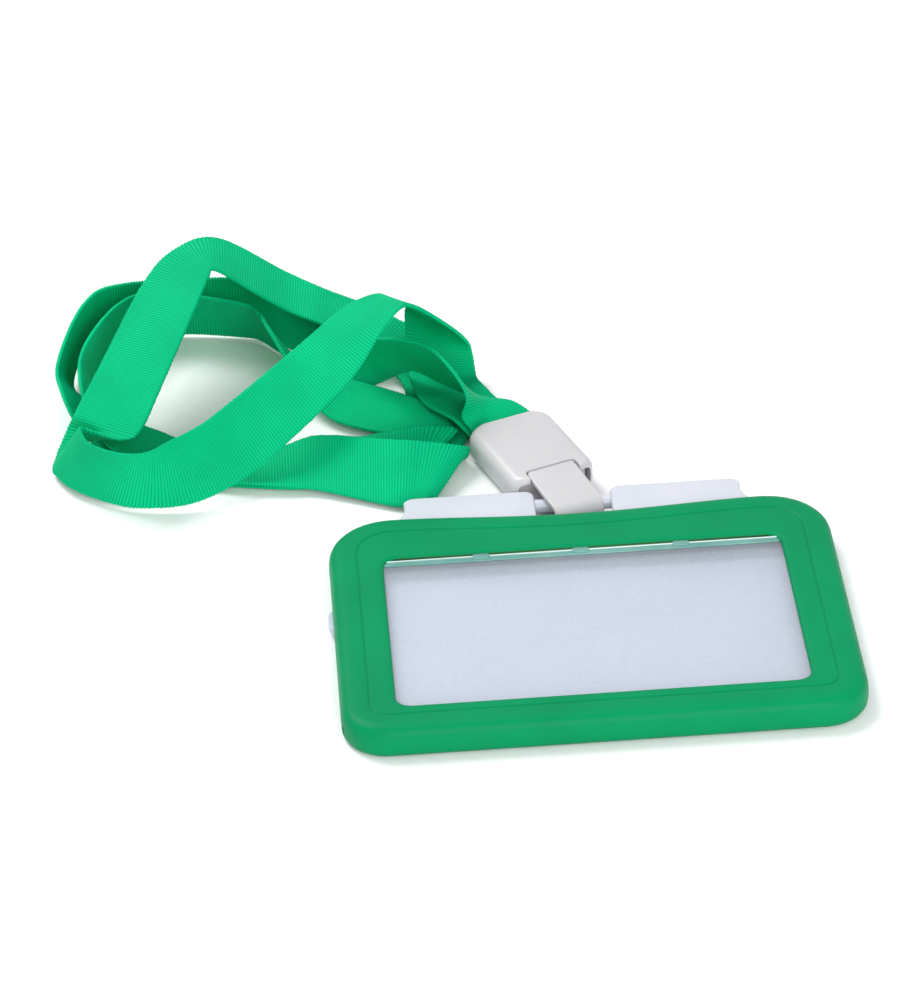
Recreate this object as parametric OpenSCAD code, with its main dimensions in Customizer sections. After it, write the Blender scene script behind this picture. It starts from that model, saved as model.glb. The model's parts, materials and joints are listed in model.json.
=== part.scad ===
// Lanyard badge holder: a soft-edged card case on a hooked clip, with a folded neck strap.
// The case lies on its back. X runs across the case, Y up towards the clip, Z out of its face.
// The origin is the middle of the case's back.

/* [Case] */
// Width of the soft frame
frame_w = 106.6; // [104:0.2:112]
// Lowest edge of the soft frame, below the middle of the window
frame_low = 35.3; // [34:0.1:38]
// Highest edge of the soft frame, above the middle of the window
frame_high = 42.4; // [41:0.1:43]
// Thickness of the soft frame
frame_t = 7; // [6.6:0.1:8]
// Corner radius of the frame's lower corners
low_corner = 9.5; // [6:0.5:12]
// Corner radius of the frame's upper corners
high_corner = 13.5; // [10:0.5:15]
// Radius that rounds the frame's rim
rim_r = 2.5; // [1:0.1:3]
// How far the middle of the frame's top edge dips
top_dip = 2; // [1:0.1:2.4]
// Width of the window opening
window_w = 84; // [80:0.5:85]
// Height of the window opening
window_h = 53; // [50:0.5:54]
// Thickness of the window plate
window_t = 1; // [0.8:0.1:1.2]

/* [Hanging tab] */
// Width of the tab where it leaves the frame
tab_w = 81; // [76:1:84]
// Height of the tab's top edge above the middle of the window
tab_high = 51.7; // [51:0.1:52]
// Thickness of the tab
tab_t = 2.6; // [2.2:0.1:2.8]
// Width of the notch that the hook goes through
notch_w = 16.4; // [16:0.2:18]
// Radius of the bar across the notch
bar_r = 1.5; // [1.3:0.05:1.5]

/* [Card and tray] */
// Width of the card, the standard identity card size
card_w = 85.6; // [85.6:0.1:85.8]
// Height of the card
card_h = 54; // [53.9:0.1:54.1]
// Thickness of the card
card_t = 0.76; // [0.5:0.02:0.8]
// How far the tray's thumb nub stands out of the frame
nub_out = 1; // [0.5:0.1:2]

/* [Clip] */
// Turn of the clip about the vertical, away from straight
clip_yaw = 21; // [18:1:21]
// Width of the sleeve
sleeve_w = 20; // [19.6:0.2:22]
// Length of the sleeve
sleeve_l = 25; // [24:0.5:26]
// Thickness of the sleeve
sleeve_t = 7.2; // [7.2:0.1:7.6]
// Wall of the sleeve
sleeve_wall = 1.3; // [1.2:0.05:1.3]
// Width of the hook and its tongue
hook_w = 11.3; // [10:0.1:11.3]
// Wall of the hook
hook_t = 1.2; // [1.1:0.05:1.2]

/* [Strap] */
// Width of the woven strap
strap_w = 15; // [12:0.5:15]
// Thickness of the woven strap
strap_t = 0.9; // [0.6:0.1:0.9]

/* [Hidden] */
$fn = 48;
gap = 0.3;
over = 1;
lap = 0.3;

// Case levels, upwards from its back.
case_back = 1.5;
tray_low = 1.7;
tray_t = 0.6;
card_low = tray_low + tray_t + 0.05;
window_low = 5;
window_corner = 3;
window_top = window_low + window_t;
tab_top = 5;
tab_low = tab_top - tab_t;
slot_low = tray_low - 0.1;
slot_top = card_low + card_t + gap;

// Case outline inside the frame.
case_x = 47;
case_low = -30.5;
case_high = 36;
case_wall = 2;
case_corner = 4;
card_corner = 3.2;
tray_h = 56.5;
tray_inset = 3;
nub_low_y = 6.2;
nub_high_y = 15.2;
nub_low_z = 1;
nub_x = frame_w / 2 + nub_out;

// Notch and bar.
tab_shoulder = 4.1;
tab_slope = 6.7;
tab_bend_y = 48.9;
notch_low = 40.7;
notch_corner = 1.6;
bar_y = 48.2;
bar_z = 3.05;
snap_x = [-21.3, -0.3, 20.9];
snap_w = 3.6;
snap_h = 1.4;
snap_t = 0.5;
snap_in = 1.2;
snap_corner = 0.4;

// Clip, measured along its own middle line from the notch.
clip_y = 47;
bend_s = -1.05;
bend_outer = 3;
bend_inner = bend_outer - hook_t;
bend_z = bar_z;
leg_low = bend_z - bend_outer;
plate_low = sleeve_wall + 0.2;
plate_top = 2.6;
plate_from = 9.5;
plate_to = 31;
plate_w = 15.8;
sleeve_from = 8.5;
sleeve_edge = 2.6;
sleeve_corner = 3;
tongue_tip = 11.5;
tongue_from_z = bend_z + bend_inner;
tongue_tip_z = sleeve_t - hook_t;
tongue_gap = 0.3;
sleeve_notch_corner = 1.2;
tip_corner = 1;
plate_corner = 1.5;
foot_to = 5;
ramp_to = 8;
staple_s = 20;
staple_w = 8;
staple_wire = 0.5;
staple_foot = 2.4;
staple_top = 5.3;
staple_lift = 0.05;
leg_hole = 1;
groove_t = 0.7;
fold_w = 16.5;

// Route of the strap: a point of its middle line, then the direction of its width.
route = [
    [[-4.3, 58.2, 3.1], [14, 5, 0]], [[-11.5, 76.9, 3.1], [14, 5, 0]],
    [[-13.5, 81.3, 3.2], [13.6, 6.2, 0.3]], [[-18, 86.6, 4.2], [11.5, 9.5, -2.2]],
    [[-22.5, 93.5, 4.4], [13.5, 6, 0]], [[-24.3, 102, 3.4], [14, 2, -1]],
    [[-24.8, 107.8, 7.2], [14, 0, -1.5]], [[-25.5, 107.6, 14], [13, -6, -4]],
    [[-28.3, 103, 20.4], [7, -12.5, 3]], [[-33, 97.5, 26.6], [5, -13, 5.5]],
    [[-36.5, 91.5, 30.8], [5, -13, 4]], [[-42.5, 87, 29], [8, -13, 1]], [[-51, 81, 22.5], [9, -11, -5]],
    [[-68, 71, 13], [8, -7, -10]], [[-76, 66, 10], [6, -6, -12]], [[-84, 62, 8.8], [3, -4, -14]],
    [[-92, 60.5, 8.4], [-3, 1, -15]], [[-98, 62.5, 8.2], [-5, 3, -14]], [[-104, 67, 8], [-7, 4, -12.5]],
    [[-107.5, 72, 7.8], [-7, 5, -12]], [[-108.5, 76.5, 7.6], [-7, 3.5, -12.5]],
    [[-106.5, 77.4, 8.2], [-9, 7, -9.5]], [[-104, 77.5, 9.2], [-10.5, 9, -5]],
    [[-101.7, 78, 10.5], [-12, 9, -0.5]], [[-99.2, 79.5, 12], [-14, 4, 3.5]], [[-94, 93, 15], [-14, 5, 2]],
    [[-84, 114, 24], [-12, 8, 0]], [[-79, 121, 26.8], [-7, 13, 0]], [[-73, 124, 26.5], [0, 15, 0]],
    [[-59, 125, 15.8], [1, 15, 1]], [[-50, 121, 12.9], [2, 15, 0]], [[-41, 117, 9.9], [5, 14, 0]],
    [[-31.5, 113, 4.4], [10, 11, 0]], [[-26, 104, 1.1], [14, 5, 0]], [[-27, 86, 1], [14.5, -4, 0]],
    [[-29.5, 77, 1], [15, 0, 0]], [[-28.5, 69.5, 1.3], [14, 5, 0.5]], [[-25.2, 63.8, 3.1], [9, 13.5, 3.5]],
    [[-27, 61.7, 4.9], [7, 12, 5]], [[-32, 60.5, 5.6], [3, 12, 8]], [[-38.5, 61, 5.9], [1, 11, 9.5]],
    [[-54, 69.5, 4.2], [1, 14, 5]], [[-64, 71.5, 2.6], [0, 15, 0]], [[-83, 77, 2.2], [3, 15, 0]],
    [[-92, 82, 3.3], [7, 13, -1]], [[-98, 88, 5.4], [9, 10, -6]], [[-102, 97, 7.4], [7, 4, -13]],
    [[-103.5, 108, 8.2], [1, 2, -15]], [[-97.5, 127, 8.2], [-2, 5, -14]], [[-88, 130.5, 8.4], [-1, 5, -14]],
    [[-69, 126, 8.2], [1, 7, -13]], [[-63, 120, 8], [4, 5, -13]], [[-59, 112, 7.4], [7, 3, -12]],
    [[-48, 98, 3], [8, 13, 0]], [[-32, 87, 2.5], [9, 12, 0]], [[-30, 81, 2.3], [12, 9, 0]],
    [[-28, 75.5, 2.3], [10, 13.5, 0]], [[-27, 74, 3], [8.5, 14.5, 0]], [[-28.5, 73.7, 3.7], [7, 15.3, 0]],
    [[-33, 73.5, 4.3], [1, 15, 0]], [[-49, 73.4, 1.9], [0, 15, 0]], [[-58, 72, 1], [1, 15, 0]],
    [[-82, 78, 0.8], [3, 15, 0]], [[-93, 84, 1.2], [7, 13, -1]], [[-101, 89.5, 4], [9, 11, -6]],
    [[-106, 97, 7.2], [7, 8, -10]], [[-109, 107, 8.4], [2, 8, -12]], [[-104, 125.5, 10], [0, 5, -14]],
    [[-95, 133, 9], [0, 3, -15]], [[-69, 132, 7.8], [0, -2, -14.5]], [[-60, 128, 7.3], [2, -6, -13]],
    [[-51.5, 119.5, 5.9], [3, -9, -9]], [[-46.8, 109.8, 5], [4, -8.6, -7.4]],
    [[-39.5, 103.3, 9], [3, 4, -14]], [[-32.5, 97.6, 13.2], [2, 7, -12]], [[-27, 92.5, 13.5], [2, 7, -13]],
    [[-22.5, 86.5, 12.8], [2, 9, -11]], [[-18.5, 83.6, 9.8], [4, 12, -8]], [[-16, 83, 6.9], [11, 9, -2.5]],
    [[-13.3, 81.2, 4.8], [13.5, 5.5, -0.4]], [[-11.5, 76.9, 4.3], [14, 5, 0]],
    [[-4.3, 58.2, 4.3], [14, 5, 0]]
];

module rounded_rect(w, h, r) {
    square([w - 2 * r, h], center = true);
    square([w, h - 2 * r], center = true);
    for (x = [-1, 1], y = [-1, 1])
        translate([x * (w / 2 - r), y * (h / 2 - r)]) circle(r);
}

// A disc with its upper and lower edges rounded.
module soft_disc(r, h, edge) {
    rotate_extrude() intersection() {
        translate([0, h / 2]) rounded_rect(2 * r, h, edge);
        translate([0, -over]) square([r + over, h + 2 * over]);
    }
}

module case_outline(inset) {
    translate([0, (case_high + case_low) / 2])
        rounded_rect(2 * (case_x - inset), case_high - case_low - 2 * inset, case_corner);
}

// The slot in the left side that the tray and card slide through.
module tray_way() {
    translate([-frame_w / 2 - over, -tray_h / 2 - gap, slot_low])
        cube([frame_w / 2 + over, tray_h + 2 * gap, slot_top - slot_low]);
    translate([-frame_w / 2 - over, nub_low_y - gap, nub_low_z - gap])
        cube([frame_w / 2 + over - case_x, nub_high_y - nub_low_y + 2 * gap, slot_top - nub_low_z]);
}

module tab_outline() {
    half = tab_w / 2;
    difference() {
        polygon([[-half, case_high - over], [-half, frame_high], [-half + tab_shoulder, tab_bend_y],
                 [-half + tab_slope, tab_high], [half - tab_slope, tab_high],
                 [half - tab_shoulder, tab_bend_y], [half, frame_high], [half, case_high - over]]);
        translate([0, tab_high])
            rounded_rect(notch_w, 2 * (tab_high - notch_low), notch_corner);
    }
}

module soft_frame() {
    color("#009f65") difference() {
        hull() {
            for (side = [-1, 1]) {
                translate([side * (frame_w / 2 - low_corner), low_corner - frame_low, 0])
                    soft_disc(low_corner, frame_t, rim_r);
                translate([side * (frame_w / 2 - high_corner), frame_high - high_corner, 0])
                    soft_disc(high_corner, frame_t, rim_r);
            }
        }
        translate([0, 0, window_top - over]) linear_extrude(frame_t)
            rounded_rect(window_w, window_h, window_corner);
        translate([0, 0, -over]) linear_extrude(window_top + over) case_outline(0);
        translate([0, 0, tab_low]) linear_extrude(tab_t) tab_outline();
        tray_way();
        dip_r = (pow(tab_w / 2, 2) + pow(top_dip, 2)) / (2 * top_dip);
        translate([0, frame_high - top_dip + dip_r, -over])
            cylinder(r = dip_r, h = frame_t + 2 * over, $fn = 360);
    }
}

module inner_case() {
    color("#e8eaf0") {
        difference() {
            linear_extrude(window_low) case_outline(0);
            translate([0, 0, case_back]) linear_extrude(window_low) case_outline(case_wall);
            tray_way();
        }
        translate([0, 0, tab_low]) linear_extrude(tab_t) tab_outline();
        translate([-notch_w / 2, bar_y, bar_z]) rotate([0, 90, 0]) cylinder(r = bar_r, h = notch_w);
    }
}

module clear_window() {
    color("#bcc9d4", 0.4) {
        translate([0, 0, window_low]) linear_extrude(window_t) case_outline(gap);
        for (x = snap_x) translate([x, window_h / 2 - snap_in, window_top]) linear_extrude(snap_t)
            rounded_rect(snap_w, snap_h, snap_corner);
    }
}

module card_tray() {
    color("#dfe4ea") {
        translate([-(over + tray_inset) / 2, 0, tray_low]) linear_extrude(tray_t)
            rounded_rect(2 * case_x + over - tray_inset, tray_h, card_corner);
        translate([-nub_x, nub_low_y, nub_low_z])
            cube([nub_x - case_x - gap, nub_high_y - nub_low_y, tray_low + tray_t - nub_low_z]);
    }
}

module id_card() {
    color("#cdd2e2") translate([0, 0, card_low]) linear_extrude(card_t)
        rounded_rect(card_w, card_h, card_corner);
}

// Places a shape given in the clip's own frame: X across the clip, Y along it.
module clip_frame() { translate([0, clip_y, 0]) rotate([0, 0, clip_yaw]) children(); }

// Extrudes an outline drawn along and above the clip to a width across it.
module across(w) { translate([-w / 2, 0, 0]) rotate([90, 0, 90]) linear_extrude(w) children(); }

module hook_bend(side) {
    intersection() {
        difference() {
            translate([bend_s, bend_z]) circle(bend_outer);
            translate([bend_s, bend_z]) circle(bend_inner);
        }
        translate([bend_s - bend_outer - over, side > 0 ? bend_z : bend_z - bend_outer - over])
            square([bend_outer + over, bend_outer + over]);
    }
}

module clip_sleeve() {
    middle = sleeve_from + sleeve_l / 2;
    color("#dbdadc") clip_frame() difference() {
        intersection() {
            translate([0, middle, 0]) linear_extrude(sleeve_t)
                rounded_rect(sleeve_w, sleeve_l, sleeve_corner);
            translate([0, sleeve_from, sleeve_t / 2]) rotate([-90, 0, 0]) linear_extrude(sleeve_l)
                rounded_rect(sleeve_w, sleeve_t, sleeve_edge);
        }
        translate([0, sleeve_from - over, sleeve_t / 2]) rotate([-90, 0, 0])
            linear_extrude(sleeve_l + 2 * over)
            rounded_rect(sleeve_w - 2 * sleeve_wall, sleeve_t - 2 * sleeve_wall, sleeve_edge - sleeve_wall);
        translate([0, sleeve_from, sleeve_t - 2 * sleeve_wall]) linear_extrude(sleeve_t)
            rounded_rect(hook_w + 2 * tongue_gap, 2 * (tongue_tip + tongue_gap - sleeve_from),
                         sleeve_notch_corner);
    }
}

module hook_core() {
    color("#dbdadc") clip_frame() {
        across(hook_w) {
            hook_bend(-1);
            polygon([[bend_s - lap, leg_low], [foot_to, leg_low], [ramp_to, plate_low],
                     [plate_from + over, plate_low], [plate_from + over, plate_top],
                     [ramp_to - gap, plate_top], [foot_to - gap, leg_low + hook_t],
                     [bend_s - lap, leg_low + hook_t]]);
        }
        difference() {
            translate([0, (plate_from + plate_to) / 2, plate_low]) linear_extrude(plate_top - plate_low)
                rounded_rect(plate_w, plate_to - plate_from, plate_corner);
            translate([0, staple_s, plate_low])
                cube([staple_w + over, 2 * over, groove_t * 2], center = true);
            for (side = [-1, 1]) translate([side * (staple_w - staple_wire) / 2, staple_s, plate_top])
                cube([leg_hole, leg_hole, 2 * sleeve_t], center = true);
        }
    }
}

module hook_tongue() {
    color("#dbdadc") clip_frame() intersection() {
        across(hook_w) {
            hook_bend(1);
            polygon([[bend_s - lap, tongue_from_z], [bend_s - lap, tongue_from_z + hook_t],
                     [tongue_tip, tongue_tip_z + hook_t], [tongue_tip, tongue_tip_z]]);
        }
        linear_extrude(sleeve_t + over) rounded_rect(hook_w, 2 * tongue_tip, tip_corner);
    }
}

// A flat wire staple through both strap ends, its feet folded in under the hook's plate.
module strap_staple() {
    color("#b9bcc0") clip_frame() translate([0, staple_s, 0]) {
        across_wire = staple_w / 2;
        foot_low = plate_low + staple_lift;
        translate([-across_wire, -staple_wire / 2, staple_top - staple_wire])
            cube([staple_w, staple_wire, staple_wire]);
        for (side = [-1, 1]) {
            translate([side * (across_wire - staple_wire / 2), 0, (staple_top + foot_low) / 2])
                cube([staple_wire, staple_wire, staple_top - foot_low], center = true);
            translate([side * (across_wire - staple_foot / 2), 0, foot_low + staple_wire / 2])
                cube([staple_foot, staple_wire, staple_wire], center = true);
        }
    }
}

// Sweep of a flat section along the route: unit vectors, then one ring for each point.
function unit(v) = v / norm(v);
function along(i) = unit(route[min(i + 1, len(route) - 1)][0] - route[max(i - 1, 0)][0]);
// A width longer than fold_w runs along a slanting fold, so it keeps its length.
function half_width(i) = let (w = route[i][1]) norm(w) > fold_w ? w / 2 : unit(w) * strap_w / 2;
flat = [[1, 0.2], [0.94, 1], [-0.94, 1], [-1, 0.2], [-1, -0.2], [-0.94, -1], [0.94, -1], [1, -0.2]];
function ring(i) = let (w = half_width(i), n = unit(cross(along(i), w)) * strap_t / 2)
    [for (p = flat) route[i][0] + p[0] * w + p[1] * n];

module strap() {
    sides = len(flat);
    last = len(route) - 1;
    color("#00aa69") polyhedron(
        points = [for (i = [0:last]) each ring(i)],
        faces = concat(
            [[for (k = [0:sides - 1]) k]],
            [for (i = [0:last - 1], k = [0:sides - 1])
                [i * sides + k, (i + 1) * sides + k, (i + 1) * sides + (k + 1) % sides]],
            [for (i = [0:last - 1], k = [0:sides - 1])
                [i * sides + k, (i + 1) * sides + (k + 1) % sides, i * sides + (k + 1) % sides]],
            [[for (k = [sides - 1:-1:0]) last * sides + k]]));
}

soft_frame();
inner_case();
clear_window();
card_tray();
id_card();
clip_sleeve();
hook_core();
hook_tongue();
strap_staple();
strap();
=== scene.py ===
import json
import math

import bmesh
import bpy
import numpy as np
from mathutils import Matrix, Vector


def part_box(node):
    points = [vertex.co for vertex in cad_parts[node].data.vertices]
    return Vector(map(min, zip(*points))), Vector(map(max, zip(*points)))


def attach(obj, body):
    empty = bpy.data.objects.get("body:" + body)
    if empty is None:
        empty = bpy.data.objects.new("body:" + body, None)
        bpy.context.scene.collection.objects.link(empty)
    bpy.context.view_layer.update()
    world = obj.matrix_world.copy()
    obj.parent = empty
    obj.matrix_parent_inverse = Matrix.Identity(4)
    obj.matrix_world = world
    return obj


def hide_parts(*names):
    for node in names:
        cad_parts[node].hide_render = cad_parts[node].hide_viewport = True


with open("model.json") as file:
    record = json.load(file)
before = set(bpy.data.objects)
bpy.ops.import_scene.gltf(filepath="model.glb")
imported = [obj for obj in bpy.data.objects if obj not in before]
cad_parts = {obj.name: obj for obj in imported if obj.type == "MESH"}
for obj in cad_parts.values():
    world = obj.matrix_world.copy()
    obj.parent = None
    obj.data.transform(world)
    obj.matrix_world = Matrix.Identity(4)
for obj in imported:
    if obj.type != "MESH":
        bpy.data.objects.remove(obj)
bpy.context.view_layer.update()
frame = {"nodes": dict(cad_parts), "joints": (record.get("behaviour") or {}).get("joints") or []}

MM = 0.001

# ---------------------------------------------------------------- camera
CAM_AZ = math.radians(-2.57)
CAM_EL = math.radians(33.22)
CAM_ROLL = math.radians(-2.34)
CAM_DIST = 0.922
CAM_RIGHT = 0.0279  # how far the object's origin is right of the view's middle
CAM_ABOVE = -0.0297  # how far it is above the middle, so here it is below
CAM_LENS = 160.7
SENSOR = 36


def make_camera():
    level = math.cos(CAM_EL)
    back = Vector((math.sin(CAM_AZ) * level, -math.cos(CAM_AZ) * level, math.sin(CAM_EL)))
    right = Vector((0, 0, 1)).cross(back).normalized()
    up = back.cross(right)
    c, s = math.cos(CAM_ROLL), math.sin(CAM_ROLL)
    side, top = c * right + s * up, c * up - s * right
    place = back * CAM_DIST - side * CAM_RIGHT - top * CAM_ABOVE
    data = bpy.data.cameras.new("camera")
    data.lens = CAM_LENS
    data.sensor_width = SENSOR
    cam = bpy.data.objects.new("camera", data)
    cam.matrix_world = Matrix((side, top, back)).transposed().to_4x4()
    cam.location = place
    bpy.context.scene.collection.objects.link(cam)
    bpy.context.scene.camera = cam


make_camera()

# ---------------------------------------------------------------- materials


def linear(code):
    """A screen colour, in hexadecimal, as linear light."""
    v = [int(code[i:i + 2], 16) / 255 for i in (0, 2, 4)]
    return [x / 12.92 if x <= 0.04045 else ((x + 0.055) / 1.055) ** 2.4 for x in v] + [1]


class Nodes:
    """Short names for building one node tree."""

    def __init__(self, name):
        self.mat = bpy.data.materials.new(name)
        self.mat.use_nodes = True
        self.tree = self.mat.node_tree
        self.bsdf = self.tree.nodes["Principled BSDF"]

    def put(self, socket, value):
        if isinstance(value, bpy.types.NodeSocket):
            self.tree.links.new(value, socket)
        else:
            socket.default_value = value

    def node(self, kind, out, props=None, **sockets):
        n = self.tree.nodes.new(kind)
        for k, v in (props or {}).items():
            setattr(n, k, v)
        for k, v in sockets.items():
            key = int(k[1:]) if k[0] == "i" and k[1:].isdigit() else k.replace("_", " ")
            self.put(n.inputs[key], v)
        return n.outputs[out]

    def noise(self, coords, scale, detail=3.0):
        return self.node("ShaderNodeTexNoise", "Fac", Vector=coords, Scale=scale, Detail=detail)

    def math(self, op, a, b=0.0):
        return self.node("ShaderNodeMath", 0, {"operation": op}, i0=a, i1=b)

    def span(self, value, low, high, at_low=0.0, at_high=1.0):
        n = self.tree.nodes.new("ShaderNodeMapRange")
        self.put(n.inputs["Value"], value)
        for key, v in (("From Min", low), ("From Max", high), ("To Min", at_low), ("To Max", at_high)):
            n.inputs[key].default_value = v
        return n.outputs[0]

    def mix(self, fac, a, b):
        n = self.tree.nodes.new("ShaderNodeMix")
        n.data_type = "RGBA"
        self.put(n.inputs[0], fac)
        self.put(n.inputs[6], a)
        self.put(n.inputs[7], b)
        return n.outputs[2]

    def bump(self, height, strength, distance):
        n = self.tree.nodes.new("ShaderNodeBump")
        self.put(n.inputs["Height"], height)
        n.inputs["Strength"].default_value = strength
        n.inputs["Distance"].default_value = distance
        return n.outputs[0]

    def coords(self):
        return self.tree.nodes.new("ShaderNodeTexCoord").outputs["Object"]


def moulded(name, colour, shade, rough, grain, depth, **extra):
    """A moulded plastic: cloudy colour, fine skin grain and faint handling marks."""
    n = Nodes(name)
    at = n.coords()
    cloud = n.noise(at, 60)
    skin = n.noise(at, grain, 4)
    marks = n.noise(at, 420, 6)
    n.put(n.bsdf.inputs["Base Color"], n.mix(n.span(cloud, 0.3, 0.7), linear(shade), linear(colour)))
    both = n.math("ADD", n.math("MULTIPLY", skin, 0.6), n.math("MULTIPLY", marks, 0.4))
    n.put(n.bsdf.inputs["Roughness"], n.span(both, 0.35, 0.65, rough - 0.06, rough + 0.08))
    n.put(n.bsdf.inputs["Normal"], n.bump(skin, 0.35, depth))
    for key, v in extra.items():
        n.bsdf.inputs[key.replace("_", " ")].default_value = v
    return n.mat


WARP_THREADS = 52


def woven(name):
    """Grosgrain: cross ribs in the mesh, warp threads, fuzz, cloudy dye and painted shade in the rib
    valleys here.
    """
    n = Nodes(name)
    uv = n.tree.nodes.new("ShaderNodeUVMap").outputs[0]
    split = n.tree.nodes.new("ShaderNodeSeparateXYZ")
    n.put(split.inputs[0], uv)
    run, cross = split.outputs[0], split.outputs[1]
    rib = n.math("SINE", n.math("MULTIPLY", run, 2 * math.pi))
    warp = n.math("SINE", n.math("MULTIPLY", cross, 2 * math.pi * WARP_THREADS))
    at = n.coords()
    fuzz = n.noise(at, 5200, 2)
    cloud = n.noise(at, 90, 2)
    # Painted shade: a darker green in the valleys between the cross ribs.
    valley_shade = n.span(rib, -1, 0.3, 0.0, 1.0)
    body = n.mix(n.span(cloud, 0.3, 0.7), linear("00AE74"), linear("00C182"))
    dye_with_valley_shade = n.mix(valley_shade, linear("008F5C"), body)
    n.put(n.bsdf.inputs["Base Color"], n.mix(n.span(fuzz, 0.35, 0.8, 0, 0.35), dye_with_valley_shade, linear("00D49A")))
    height = n.math("ADD", n.math("MULTIPLY", warp, 0.25), n.math("MULTIPLY", fuzz, 0.8))
    n.put(n.bsdf.inputs["Normal"], n.bump(height, 0.5, 0.00008))
    n.put(n.bsdf.inputs["Roughness"], n.span(fuzz, 0.2, 0.8, 0.55, 0.75))
    n.bsdf.inputs["Sheen Weight"].default_value = 0.06
    n.bsdf.inputs["Sheen Roughness"].default_value = 0.45
    n.bsdf.inputs["Sheen Tint"].default_value = linear("00E0A0")
    n.bsdf.inputs["Specular IOR Level"].default_value = 0.06
    return n.mat


def clear(name):
    """Clear moulded sheet with faint wiping marks."""
    n = Nodes(name)
    at = n.coords()
    smear = n.noise(at, 55, 5)
    fine = n.noise(at, 700, 3)
    n.put(n.bsdf.inputs["Base Color"], n.mix(smear, linear("DDE7F3"), linear("E3ECF6")))
    n.put(n.bsdf.inputs["Roughness"], n.span(smear, 0.35, 0.7, 0.06, 0.1))
    n.put(n.bsdf.inputs["Normal"], n.bump(fine, 0.02, 0.00002))
    n.put(n.bsdf.inputs["Alpha"], n.span(smear, 0.3, 0.7, 0.21, 0.23))
    n.bsdf.inputs["IOR"].default_value = 1.5
    n.bsdf.inputs["Specular IOR Level"].default_value = 1.0
    n.bsdf.inputs["Coat Weight"].default_value = 1.0
    n.bsdf.inputs["Coat Roughness"].default_value = 0.04
    return n.mat


GREEN = moulded("soft_green", "008C58", "008553", 0.42, 1900, 0.00003, Specular_IOR_Level=0.08)
PALE = moulded("pale_case", "CDD0DA", "C6CAD5", 0.34, 1400, 0.000006)
GREY = moulded("pale_clip", "C6C5C8", "BEBDC0", 0.36, 1500, 0.00002,
               Subsurface_Weight=0.15, Subsurface_Scale=0.0015)
NUB = moulded("tray_plastic", "C6CEDE", "B8C1D2", 0.3, 1300, 0.000008)
CARD = moulded("card_face", "BFC4D5", "BCC1D2", 0.28, 900, 0.00001,
               Coat_Weight=0.3, Coat_Roughness=0.15)
WIRE = moulded("staple_steel", "B9BCC0", "A2A6AB", 0.3, 2600, 0.00002, Metallic=1.0)
# Painted reflection: the teal stands in for the green frame seen through the clear edges; the cloud only
# mixes two teals.
EDGE = moulded("clear_edge_frame_reflection", "7FB5AC", "4E9488", 0.14, 800, 0.00001,
               Alpha=0.8, Coat_Weight=0.5, Coat_Roughness=0.08)
# Painted highlight: a near-white clear plastic for the bright line along the top of the window's strip.
PAINTED_HIGHLIGHT = moulded("painted_highlight_ridge", "D5E6E4", "B9D6D2", 0.12, 800, 0.00001,
                Coat_Weight=0.8, Coat_Roughness=0.05)
# Painted shadow: a dark green for the shade that the frame's lip casts on the window's top edge.
LIP_SHADE = moulded("lip_shadow", "00500F", "004A00", 0.7, 1500, 0.00002)
CLEAR = clear("clear_sheet")
WEAVE = woven("grosgrain")

# ---------------------------------------------------------------- mesh building


def mesh_of(name, verts, faces):
    """A mesh from points in millimetres."""
    mesh = bpy.data.meshes.new(name)
    points = [tuple(float(c) * MM for c in v) for v in verts]
    mesh.from_pydata(points, [], [tuple(int(i) for i in f) for f in faces])
    return mesh


def piece(name, verts, faces, mat, body, slot, node=None, uv=None):
    """A mesh piece from points in millimetres, riding on a body."""
    mesh = mesh_of(name, verts, faces)
    if uv is not None:
        layer = mesh.uv_layers.new(name="UVMap")
        loops = np.empty(len(mesh.loops), int)
        mesh.loops.foreach_get("vertex_index", loops)
        layer.data.foreach_set("uv", np.asarray(uv, np.float32)[loops].ravel())
    mesh.materials.append(mat)
    obj = bpy.data.objects.new(name, mesh)
    bpy.context.scene.collection.objects.link(obj)
    clean(obj)
    mesh.shade_smooth()
    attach(obj, body)
    if node:
        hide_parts(node)
    return obj


def clean(obj):
    """Turns every face outwards."""
    bm = bmesh.new()
    bm.from_mesh(obj.data)
    bmesh.ops.recalc_face_normals(bm, faces=bm.faces)
    bm.to_mesh(obj.data)
    bm.free()


def finish_edges(obj, width, segments, angle):
    """Rounds the sharp edges and keeps the flats flat."""
    m = obj.modifiers.new("soft_edge", "BEVEL")
    m.width = width * MM
    m.segments = segments
    m.limit_method = "ANGLE"
    m.angle_limit = math.radians(angle)
    m.harden_normals = True


def cut(obj, verts, faces):
    """Takes a closed shape, in millimetres, out of a piece."""
    tool = bpy.data.objects.new("cutter", mesh_of("cutter", verts, faces))
    bpy.context.scene.collection.objects.link(tool)
    clean(tool)
    m = obj.modifiers.new("cut", "BOOLEAN")
    m.operation = "DIFFERENCE"
    m.object = tool
    m.solver = "EXACT"
    result = obj.evaluated_get(bpy.context.evaluated_depsgraph_get())
    done = bpy.data.meshes.new_from_object(result)
    obj.modifiers.clear()
    done.name = obj.name
    obj.data = done
    bpy.data.objects.remove(tool)


def arc(cx, cy, r, a0, a1, n):
    """Points on a circle from the angle a0 to a1, in degrees."""
    turns = np.radians(np.linspace(a0, a1, n))
    return [(cx + r * math.cos(a), cy + r * math.sin(a)) for a in turns]


def rounded(x0, x1, y0, y1, r, n=8):
    """A rectangle with round corners, counter-clockwise."""
    return np.array(arc(x1 - r, y0 + r, r, -90, 0, n) + arc(x1 - r, y1 - r, r, 0, 90, n)
                    + arc(x0 + r, y1 - r, r, 90, 180, n) + arc(x0 + r, y0 + r, r, 180, 270, n))


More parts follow.
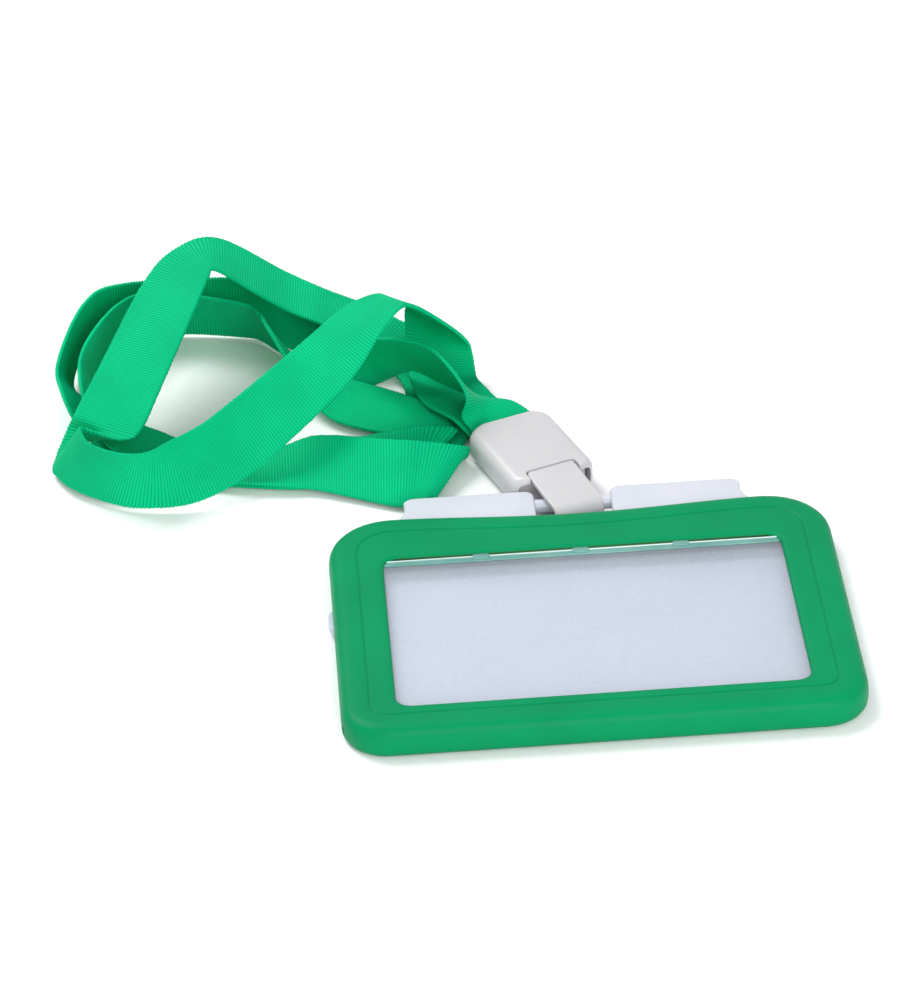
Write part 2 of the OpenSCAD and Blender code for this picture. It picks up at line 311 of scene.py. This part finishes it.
def inset(poly, d):
    """Moves a counter-clockwise outline inwards by d."""
    p = np.asarray(poly, float)
    a, b = p - np.roll(p, 1, 0), np.roll(p, -1, 0) - p
    a /= np.maximum(np.linalg.norm(a, axis=1), 1e-9)[:, None]
    b /= np.maximum(np.linalg.norm(b, axis=1), 1e-9)[:, None]
    na, nb = np.c_[-a[:, 1], a[:, 0]], np.c_[-b[:, 1], b[:, 0]]
    m = na + nb
    return p + m * (d / np.maximum((m * na).sum(1), 0.35))[:, None]


def ray(poly, angles):
    """Where rays from the origin at these angles cross an outline around it."""
    p = np.asarray(poly, float)
    q = np.roll(p, -1, 0)
    out = []
    for t in angles:
        d = np.array((math.cos(t), math.sin(t)))
        side_p = p[:, 0] * d[1] - p[:, 1] * d[0]
        side_q = q[:, 0] * d[1] - q[:, 1] * d[0]
        i = np.where((side_p >= 0) & (side_q < 0) & ((p + q) @ d > 0))[0][0]
        k = side_p[i] / (side_p[i] - side_q[i])
        out.append(p[i] + k * (q[i] - p[i]))
    return np.array(out)


def skin(rings, loop=False, cap=False):
    """Points and faces over rings of equal length. loop joins the last ring to the first."""
    n, m = len(rings[0]), len(rings)
    verts = [v for r in rings for v in r]
    faces = []
    for j in range(m if loop else m - 1):
        k = (j + 1) % m
        for i in range(n):
            h = (i + 1) % n
            faces.append((j * n + i, j * n + h, k * n + h, k * n + i))
    if cap:
        faces.append(tuple(range(n))[::-1])
        faces.append(tuple(range((m - 1) * n, m * n)))
    return verts, faces


def levels(poly, steps):
    """Rings of an outline: each step is (inset, height)."""
    return [[(x, y, z) for x, y in inset(poly, d)] for d, z in steps]


def slab(poly, low, high, r):
    """A plate with rounded upper and lower edges."""
    turns = np.linspace(0, math.pi / 2, 4)
    up = [(r - r * math.sin(t), low + r - r * math.cos(t)) for t in turns]
    down = [(r - r * math.cos(t), high - r + r * math.sin(t)) for t in turns]
    return skin(levels(poly, up + down), cap=True)


def box(x0, x1, y0, y1, z0, z1):
    """A plain box."""
    corners = [(x0, y0), (x1, y0), (x1, y1), (x0, y1)]
    return skin([[(x, y, z) for x, y in corners] for z in (z0, z1)], cap=True)


def sweep(path, half_w, half_t, across, corner):
    """A bar of rounded rectangular section along a path in the plane square to across."""
    path, across = np.asarray(path, float), np.asarray(across, float)
    along = np.gradient(path, axis=0)
    along /= np.linalg.norm(along, axis=1)[:, None]
    rings = []
    for p, t, w, h in zip(path, along, half_w, half_t):
        up = np.cross(across, t)
        r = min(corner, w * 0.9, h * 0.9)
        rings.append([p + across * x + up * y for x, y in rounded(-w, w, -h, h, r, 5)])
    return skin(rings, cap=True)


# ---------------------------------------------------------------- sizes taken from the frame
def edges(node):
    """A CAD node's lowest and highest corners, in millimetres."""
    lo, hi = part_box(node)
    return [c / MM for c in lo], [c / MM for c in hi]


SOFT_LO, SOFT_HI = edges("soft_frame")
TAB_TOP = edges("inner_case")[1][1]
NUB_END = edges("card_tray")[0][0]
JOINTS = {j["name"]: j for j in frame["joints"]}
ALONG = np.array(JOINTS["sleeve_slide"]["axis"], float)
ACROSS = np.cross(ALONG, (0, 0, 1))
PIVOT = np.array(JOINTS["tongue_flex"]["pos_m"], float) / MM
PIVOT_BACK = 4.05  # the tongue's joint is this far behind the clip's zero point
CLIP = np.array((PIVOT[0], PIVOT[1], 0)) + PIVOT_BACK * ALONG


def clip_point(x, s, z):
    """A point given across, along and above the clip."""
    return CLIP + ACROSS * x + ALONG * s + np.array((0, 0, z))


def clip_shape(shape):
    """A shape given in clip_point's terms, moved to its place."""
    verts, faces = shape
    return [clip_point(*v) for v in verts], faces


# ---------------------------------------------------------------- strap
# Each row is a point of the middle line, then the direction of the width, in millimetres.
ROUTE = [
    (-4.3, 58.2, 3.1, 14, 5, 0), (-11.5, 76.9, 3.1, 14, 5, 0), (-13.5, 81.3, 3.2, 13.6, 6.2, 0.3),
    (-18, 86.6, 4.2, 11.5, 9.5, -2.2), (-22.5, 93.5, 4.4, 13.5, 6, 0), (-24.3, 102, 3.4, 14, 2, -1),
    (-24.8, 107.8, 7.2, 14, 0, -1.5), (-25.5, 107.6, 14, 13, -6, -4), (-28.3, 103, 20.4, 7, -12.5, 3),
    (-33, 97.5, 26.6, 5, -13, 5.5), (-36.5, 91.5, 30.8, 5, -13, 4), (-42.5, 87, 29, 8, -13, 1),
    (-51, 81, 22.5, 9, -11, -5), (-68, 71, 13, 8, -7, -10), (-76, 66, 10, 6, -6, -12),
    (-84, 62, 8.8, 3, -4, -14), (-92, 60.5, 8.4, -3, 1, -15), (-98, 62.5, 8.2, -5, 3, -14),
    (-104, 67, 8, -7, 4, -12.5), (-107.5, 72, 7.8, -7, 5, -12), (-108.5, 76.5, 7.6, -7, 3.5, -12.5),
    (-106.5, 77.4, 8.2, -9, 7, -9.5), (-104, 77.5, 9.2, -10.5, 9, -5), (-101.7, 78, 10.5, -12, 9, -0.5),
    (-99.2, 79.5, 12, -14, 4, 3.5), (-94, 93, 15, -14, 5, 2), (-84, 114, 24, -12, 8, 0),
    (-79, 121, 26.8, -7, 13, 0), (-73, 124, 26.5, 0, 15, 0), (-59, 125, 15.8, 1, 15, 1),
    (-50, 121, 12.9, 2, 15, 0), (-41, 117, 9.9, 5, 14, 0), (-31.5, 113, 4.4, 10, 11, 0),
    (-26, 104, 1.1, 14, 5, 0), (-27, 86, 1, 14.5, -4, 0), (-29.5, 77, 1, 15, 0, 0),
    (-28.5, 69.5, 1.3, 14, 5, 0.5), (-25.2, 63.8, 3.1, 9, 13.5, 3.5), (-27, 61.7, 4.9, 7, 12, 5),
    (-32, 60.5, 5.6, 3, 12, 8), (-38.5, 61, 5.9, 1, 11, 9.5), (-54, 69.5, 4.2, 1, 14, 5),
    (-64, 71.5, 2.6, 0, 15, 0), (-83, 77, 2.2, 3, 15, 0), (-92, 82, 3.3, 7, 13, -1),
    (-98, 88, 5.4, 9, 10, -6), (-102, 97, 7.4, 7, 4, -13), (-103.5, 108, 8.2, 1, 2, -15),
    (-97.5, 127, 8.2, -2, 5, -14), (-88, 130.5, 8.4, -1, 5, -14), (-69, 126, 8.2, 1, 7, -13),
    (-63, 120, 8, 4, 5, -13), (-59, 112, 7.4, 7, 3, -12), (-48, 98, 3, 8, 13, 0),
    (-32, 87, 2.5, 9, 12, 0), (-30, 81, 2.3, 12, 9, 0), (-28, 75.5, 2.3, 10, 13.5, 0),
    (-27, 74, 3, 8.5, 14.5, 0), (-28.5, 73.7, 3.7, 7, 15.3, 0), (-33, 73.5, 4.3, 1, 15, 0),
    (-49, 73.4, 1.9, 0, 15, 0), (-58, 72, 1, 1, 15, 0), (-82, 78, 0.8, 3, 15, 0),
    (-93, 84, 1.2, 7, 13, -1), (-101, 89.5, 4, 9, 11, -6), (-106, 97, 7.2, 7, 8, -10),
    (-109, 107, 8.4, 2, 8, -12), (-104, 125.5, 10, 0, 5, -14), (-95, 133, 9, 0, 3, -15),
    (-69, 132, 7.8, 0, -2, -14.5), (-60, 128, 7.3, 2, -6, -13), (-51.5, 119.5, 5.9, 3, -9, -9),
    (-46.8, 109.8, 5, 4, -8.6, -7.4), (-39.5, 103.3, 9, 3, 4, -14), (-32.5, 97.6, 13.2, 2, 7, -12),
    (-27, 92.5, 13.5, 2, 7, -13), (-22.5, 86.5, 12.8, 2, 9, -11), (-18.5, 83.6, 9.8, 4, 12, -8),
    (-16, 83, 6.9, 11, 9, -2.5), (-13.3, 81.2, 4.8, 13.5, 5.5, -0.4), (-11.5, 76.9, 4.3, 14, 5, 0),
    (-4.3, 58.2, 4.3, 14, 5, 0),
]
STRAP_W = 15.0
STRAP_T = 0.84
SMOOTH = 24  # steps between two rows of the route
RIB = 0.64  # from one cross rib to the next
RIB_RISE = 0.075
LOOP_OUT, LOOP_IN, LOOP_SPREAD = 0.1, -0.08, 0.035  # the weft loops at the strap's edges
RIM = 0.96  # part of the half width beyond which the edge's loops show
FOLD_W = 16.5  # a longer width runs along a slanting fold and keeps its length


def spline(rows, n):
    """Smooth rows through the given ones, n to each."""
    p = np.vstack([2 * rows[0] - rows[1], rows, 2 * rows[-1] - rows[-2]])
    out = []
    for i in range(1, len(p) - 2):
        a, b, c, d = p[i - 1:i + 3]
        for t in np.arange(n) / n:
            square = (2 * a - 5 * b + 4 * c - d) * t * t
            cube = (3 * b - a - 3 * c + d) * t ** 3
            out.append(0.5 * (2 * b + (c - a) * t + square + cube))
    return np.array(out + [p[-2]])


def strap_line():
    """The strap's middle points, half-width vectors and running length, half a rib apart."""
    rows = np.array(ROUTE, float)
    size = np.linalg.norm(rows[:, 3:], axis=1)
    short = size <= FOLD_W
    rows[short, 3:] *= (STRAP_W / size[short])[:, None]
    fine = spline(rows, SMOOTH)
    run = np.r_[0, np.cumsum(np.linalg.norm(np.diff(fine[:, :3], axis=0), axis=1))]
    count = int(run[-1] / (RIB / 2)) // 2 * 2 + 1
    even = np.linspace(0, run[-1], count)
    line = np.array([np.interp(even, run, fine[:, k]) for k in range(6)]).T
    return line[:, :3], line[:, 3:] / 2, even


def make_strap():
    mid, wide, even = strap_line()
    count = len(mid)
    ahead = np.gradient(mid, axis=0)
    up = np.cross(ahead, wide)
    up /= np.linalg.norm(up, axis=1)[:, None]
    edge = [(-1.0, 0.35), (-0.985, 0.85), (-0.94, 1.06), (-0.88, 0.96), (-0.5, 0.98), (0, 1.0),
            (0.5, 0.98), (0.88, 0.96), (0.94, 1.06), (0.985, 0.85), (1.0, 0.35)]
    ring = edge + [(a, -b) for a, b in edge[::-1]]
    on_crest = np.arange(count) % 2 == 0
    crest = np.where(on_crest, RIB_RISE, -RIB_RISE)
    loops = np.where(on_crest, LOOP_OUT, LOOP_IN)
    loops += np.random.default_rng(7).normal(0, LOOP_SPREAD, count)
    verts = np.empty((count, len(ring), 3))
    uv = np.empty((count, len(ring), 2))
    for k, (a, b) in enumerate(ring):
        rim = abs(a) > RIM
        w = a * (1 + loops * rim / (STRAP_W / 2))
        h = b * (STRAP_T / 2) + math.copysign(1, b) * crest * (0.5 if rim else 1)
        verts[:, k] = mid + wide * w[:, None] + up * h[:, None]
        uv[:, k, 0] = even / RIB
        uv[:, k, 1] = 0.5 + a / 2
    obj = piece("neck_strap", *skin(list(verts), cap=True), WEAVE, "clip", "strap_weave", "strap",
                uv=uv.reshape(-1, 2))


make_strap()

# ---------------------------------------------------------------- soft frame
FRAME_X, FRAME_LOW, FRAME_HIGH = SOFT_HI[0], SOFT_LO[1], SOFT_HI[1]
LOW_CORNER, HIGH_CORNER = 9.5, 13.5
TOP_DIP, CORNER_RISE = 2.0, 0.15
# Outlines are x from, x to, y from, y to, the corners' radius and, if not 8, the points in a corner.
OPENING = (-42, 42, -26.5, 26.5, 3.2)
CASE_SEAT = (-47, 47, -30.5, 36, 4)
SEAT_TOP = 6.03
# Slots in the left side are x from, x to, y from, y to, z from and z to.
TRAY_SLOT = (-60, -46, -28.6, 28.6, 1.6, 3.42)
NUB_SLOT = (-60, -46, 5.9, 15.5, 0.7, 3.5)


def frame_outline(d):
    """The frame's outline moved inwards by d: round corners and a slightly hollow top edge."""
    low, high = LOW_CORNER - d, HIGH_CORNER - d
    x, y0, y1 = FRAME_X - d, FRAME_LOW + d, FRAME_HIGH + CORNER_RISE - d
    span = x - high
    top = [(u, y1 - TOP_DIP * (1 - (u / span) ** 2) ** 2) for u in np.linspace(span, -span, 40)[1:-1]]
    right = arc(x - low, y0 + low, low, -90, 0, 12) + arc(x - high, y1 - high, high, 0, 90, 14)
    left = arc(high - x, y1 - high, high, 90, 180, 14) + arc(low - x, y0 + low, low, 180, 270, 12)
    return np.array(right + top + left)


def make_frame():
    window = rounded(*OPENING)
    seat = rounded(*CASE_SEAT, 6)
    corners = [p for outline in (frame_outline(0), window, seat) for p in outline]
    angles = sorted(set(np.round([math.atan2(y, x) for x, y in corners], 5)))

    def level(poly, z):
        return [(x, y, z) for x, y in ray(poly, angles)]

    rim = [(3.0, 0), (1.4, 0.05), (0.6, 0.4), (0.15, 1.1), (0, 2.2), (0, 4.0), (0.12, 5.0),
           (0.45, 5.8), (1.0, 6.4), (1.8, 6.8), (2.8, 6.98), (4.2, 7.0)]
    groove = [(5.55, 6.98), (5.75, 6.88), (5.9, 6.7), (6.05, 6.7), (6.2, 6.88), (6.4, 6.98)]
    lip = [(1.6, 7.0), (0.9, 6.97), (0.45, 6.85), (0.15, 6.6), (0.02, 6.3), (0, 6.04)]
    rings = [level(frame_outline(d), z) for d, z in rim + groove]
    rings += [level(inset(window, -d), z) for d, z in lip]
    rings += [level(seat, SEAT_TOP), level(seat, 0.3), level(inset(seat, -0.3), 0)]
    obj = piece("cover_frame", *skin(rings, loop=True), GREEN, "holder", "soft_frame", "soft_frame")
    cut(obj, *box(*NUB_SLOT))
    cut(obj, *box(*TRAY_SLOT))
    obj.data.shade_smooth()
    obj.modifiers.new("weigh", "WEIGHTED_NORMAL").keep_sharp = True


make_frame()

# ---------------------------------------------------------------- case, tab and bar
CASE = (-46.85, 46.85, -30.35, 35.85, 3.9)
CASE_SLOT = (-60, -44, -28.6, 28.6, 1.6, 3.42)
TAB_HALF = 40.5
TAB_LOW, TAB_HIGH = 2.4, 5.0
NOTCH_X, NOTCH_Y = 8.2, 40.7  # the hook's notch in the tab: half width and bottom
BAR_Y, BAR_Z, BAR_R = 48.2, 3.05, 1.5


def make_case():
    outside = [(0.5, 0), (0.15, 0.12), (0, 0.5), (0, 4.85), (0.1, 4.98)]
    inside = [(1.85, 4.98), (2, 4.9), (2, 1.7), (2.3, 1.5)]
    rings = levels(rounded(*CASE), outside + inside)
    shell = piece("case_shell", *skin(rings, cap=True), PALE, "holder", "inner_case", "inner_case")
    cut(shell, *box(*CASE_SLOT))
    finish_edges(shell, 0.12, 1, 40)
    right = arc(NOTCH_X + 2.1, TAB_TOP - 2.1, 2.1, 175, 90, 8)
    right += arc(TAB_HALF - 6.6, TAB_TOP - 2.8, 2.8, 90, 30, 8)
    right += arc(TAB_HALF + 3.2, 48.6, 7.6, 188, 232, 8) + [(TAB_HALF + 0.6, 36)]
    left = [(-x, y) for x, y in right[::-1]]
    r = 1.6
    notch = arc(r - NOTCH_X, NOTCH_Y + r, r, 180, 270, 6) + arc(NOTCH_X - r, NOTCH_Y + r, r, -90, 0, 6)
    outline = np.array(left + notch + right)[::-1]
    piece("hanging_tab", *slab(outline, TAB_LOW, TAB_HIGH, 0.55), PALE, "holder", "inner_case")
    circle = np.linspace(0, 2 * math.pi, 33)[:-1]
    half_bar = [(9.4, BAR_R), (8.6, BAR_R), (8.1, BAR_R), (7.7, 1.48)]
    stops = [(-x, r) for x, r in half_bar] + [(0, 1.46)] + half_bar[::-1]
    rings = [[(x, BAR_Y + r * math.cos(a), BAR_Z + r * math.sin(a)) for a in circle] for x, r in stops]
    piece("hook_bar", *skin(rings, cap=True), PALE, "holder", "inner_case")


make_case()

# ---------------------------------------------------------------- window, card and tray
SHEET = (-46.4, 46.4, -30, 35.5, 3.6)
SNAP_X = (-21.3, -0.3, 20.9)
SNAP_Y = (24.7, 26.4)
STRIP = (-41.9, 41.9, 24.1, 25.95, 0.5, 5)
# outline of the painted highlight line on the strip
HIGHLIGHT_LINE = (-41.7, 41.7, 25.45, 25.8, 0.15, 4)
LIP_SHADE_X, LIP_SHADE_Y = 41, 26.47  # half length and upper edge of the painted shadow under the frame's lip
# widest part of the painted lip shadow, at its middle
LIP_SHADE_W = 0.85
ID_CARD = (-42.75, 42.75, -26.95, 26.95, 3.2)
TRAY = (-47.9, 43.9, -28.2, 28.2, 1.5, 4)
GRIP = (NUB_END, -47.3, 6.3, 15.1, 3.4)


def make_window():
    sheet = slab(rounded(*SHEET), 5.02, 5.98, 0.2)
    piece("window_sheet", *sheet, CLEAR, "holder", "clear_window", "clear_window")
    # The snap tabs and the strip carry the teal painted reflection of the green frame.
    for k, x in enumerate(SNAP_X):
        snap = slab(rounded(x - 1.8, x + 1.8, *SNAP_Y, 0.5, 5), 5.9, 6.6, 0.28)
        piece(f"snap_tab_{k}", *snap, EDGE, "holder", "clear_window")
    strip = slab(rounded(*STRIP), 5.9, 6.3, 0.18)
    piece("window_strip", *strip, EDGE, "holder", "clear_window")
    # A thin ridge on the strip, coloured as a painted highlight along its top edge.
    ridge = slab(rounded(*HIGHLIGHT_LINE), 6.2, 6.5, 0.12)
    piece("strip_highlight", *ridge, PAINTED_HIGHLIGHT, "holder", "clear_window")
    # A dark green crescent sheet under the frame's lip: painted shadow where the lip shades the window.
    curve = np.linspace(-LIP_SHADE_X, LIP_SHADE_X, 40)
    low = [(x, LIP_SHADE_Y - 0.03 - LIP_SHADE_W * (1 - (x / LIP_SHADE_X) ** 2)) for x in curve]
    high = [(x, LIP_SHADE_Y) for x in curve[::-1]]
    gap = slab(np.array(low + high), 5.97, 6.45, 0.01)
    piece("lip_shadow_sheet", *gap, LIP_SHADE, "holder", "soft_frame")


def make_tray():
    card = slab(rounded(*ID_CARD), 2.37, 3.1, 0.1)
    piece("printed_card", *card, CARD, "tray", "id_card", "id_card")
    tray = slab(rounded(*TRAY), 1.72, 2.28, 0.12)
    piece("tray_floor", *tray, NUB, "tray", "card_tray", "card_tray")
    grip = slab(rounded(*GRIP), 1.02, 2.95, 0.35)
    piece("thumb_nub", *grip, NUB, "tray", "card_tray")


make_window()
make_tray()

# ---------------------------------------------------------------- clip
SLEEVE_FROM, SLEEVE_TO = 8.5, 33.5  # along the clip
SLEEVE_HALF = 10.0
SLEEVE_T = 7.2
SLEEVE_CORNER = 3.0
END_LIFT, END_TUCK = 0.25, 0.15  # how much the sleeve's end rings are thinner and narrower
BORE_HALF, BORE_WALL = 8.7, 1.3
NOTCH = (-5.95, 5.95, 0, 11.8, 1.2, 6)  # the tongue's notch in the sleeve's top wall
NOTCH_FLOOR = 4.6
HOOK_HALF_W = 5.6
HOOK_HALF_T = 0.6
BEND_S, BEND_Z, BEND_R = -1.05, 3.05, 2.4


def make_sleeve():
    s0, s1, r = SLEEVE_FROM, SLEEVE_TO, SLEEVE_CORNER
    stops = [s0 + r - r * math.cos(a) for a in np.linspace(0, math.pi / 2, 7)]
    stops += [s0 + s1 - s for s in stops[::-1]]
    rings = []
    for s in stops:
        d = max(0, s0 + r - s, s - s1 + r)
        half = SLEEVE_HALF - r + math.sqrt(max(0, r * r - d * d))
        lift = 0
        if s in (s0, s1):
            half -= END_TUCK
            lift = END_LIFT
        rings.append([(x, s, z) for x, z in rounded(-half, half, lift, SLEEVE_T - lift, 2.5)])
    obj = piece("clip_sleeve_shell", *clip_shape(skin(rings, cap=True)), GREY, "sleeve",
                "clip_plastic", "clip_sleeve")
    hole = rounded(-BORE_HALF, BORE_HALF, BORE_WALL, SLEEVE_T - BORE_WALL, 1.3)
    bore = [[(x, s, z) for x, z in hole] for s in (s0 - 1, s1 + 1)]
    cut(obj, *clip_shape(skin(bore, cap=True)))
    notch = [[(x, s, z) for x, s in rounded(*NOTCH)] for z in (NOTCH_FLOOR, SLEEVE_T + 1.8)]
    cut(obj, *clip_shape(skin(notch, cap=True)))
    obj.data.shade_smooth()
    finish_edges(obj, 0.22, 3, 50)


def bar_along(points, half_w, half_t, corner):
    """A stretch of the hook, from points along and above the clip."""
    return sweep([clip_point(0, s, z) for s, z in points], half_w, half_t, ACROSS, corner)


def make_hook():
    leaf = arc(BEND_S, BEND_Z, BEND_R, 180, 90, 14)
    leaf += [(0.6, 5.5), (2, 5.62), (4, 5.8), (6, 6.0), (8, 6.22), (10, 6.4)]
    leaf += [(10.7, 6.45), (11.1, 6.48), (11.35, 6.5), (11.5, 6.51)]
    wide = [HOOK_HALF_W] * (len(leaf) - 4) + [5.55, 5.35, 5.05, 4.6]
    thick = [HOOK_HALF_T] * (len(leaf) - 1) + [0.45]
    piece("hook_tongue_leaf", *bar_along(leaf, wide, thick, 0.35), GREY, "tongue",
          "clip_plastic", "hook_tongue")
    core = arc(BEND_S, BEND_Z, BEND_R, 180, 270, 14)
    core += [(1, 0.65), (3, 0.65), (4.6, 0.72), (5.6, 1.2), (6.6, 1.75), (7.6, 2.0)]
    core += [(s, 2.05) for s in (9, 9.6, 10.2, 11.2, 20, 29.6, 30.4, 30.9)]
    wide = [HOOK_HALF_W] * (len(core) - 7) + [5.8, 6.9, 7.6, 7.8, 7.8, 7.6, 7.0]
    thick = [HOOK_HALF_T] * (len(core) - 10) + [0.58] + [0.53] * 9
    piece("hook_core_plate", *bar_along(core, wide, thick, 0.3), GREY, "clip",
          "clip_plastic", "hook_core")


def make_stop():
    """The wall across the sleeve's mouth that the strap ends butt against."""
    wall = slab(rounded(-8.2, 8.2, 10.5, 11.85, 0.4, 5), 2.5, 5.25, 0.25)
    piece("strap_stop", *clip_shape(wall), GREY, "clip", "clip_plastic", "hook_core")


make_sleeve()
make_hook()
make_stop()
staple = frame["nodes"]["strap_staple"]
staple.data.materials.clear()
staple.data.materials.append(WIRE)

# ---------------------------------------------------------------- floor and lights
FLOOR_HALF = 4.0
FLOOR_GAP = 0.0001
WORLD_LIGHT = 0.6
# Name, place, size and power of each lamp, in metres and watts. All of them shine at LIT.
LAMPS = (("key", (-0.5, 0.55, 1.0), 0.6, 10), ("fill", (0.25, -1.1, 0.6), 0.9, 12))
LIT = Vector((0, 0.04, 0))


def make_stage():
    n = Nodes("pale_floor")
    grain = n.noise(n.coords(), 300, 4)
    n.put(n.bsdf.inputs["Base Color"], n.mix(n.span(grain, 0.3, 0.7), linear("F7F8FA"), linear("FCFCFD")))
    n.put(n.bsdf.inputs["Roughness"], n.span(grain, 0.3, 0.7, 0.7, 0.8))
    mesh = bpy.data.meshes.new("floor")
    f = FLOOR_HALF
    mesh.from_pydata([(-f, -f, 0), (f, -f, 0), (f, f, 0), (-f, f, 0)], [], [(0, 1, 2, 3)])
    mesh.materials.append(n.mat)
    floor = bpy.data.objects.new("floor", mesh)
    floor.location.z = -FLOOR_GAP
    bpy.context.scene.collection.objects.link(floor)
    world = bpy.data.worlds.new("studio")
    world.use_nodes = True
    world.node_tree.nodes["Background"].inputs[0].default_value = (1, 1, 1, 1)
    world.node_tree.nodes["Background"].inputs[1].default_value = WORLD_LIGHT
    bpy.context.scene.world = world
    for name, place, size, power in LAMPS:
        data = bpy.data.lights.new(name, "AREA")
        data.size = size
        data.energy = power
        lamp = bpy.data.objects.new(name, data)
        lamp.location = place
        lamp.rotation_mode = "QUATERNION"
        lamp.rotation_quaternion = (LIT - Vector(place)).to_track_quat("-Z", "Y")
        bpy.context.scene.collection.objects.link(lamp)


make_stage()
bpy.context.scene.view_settings.view_transform = "Standard"
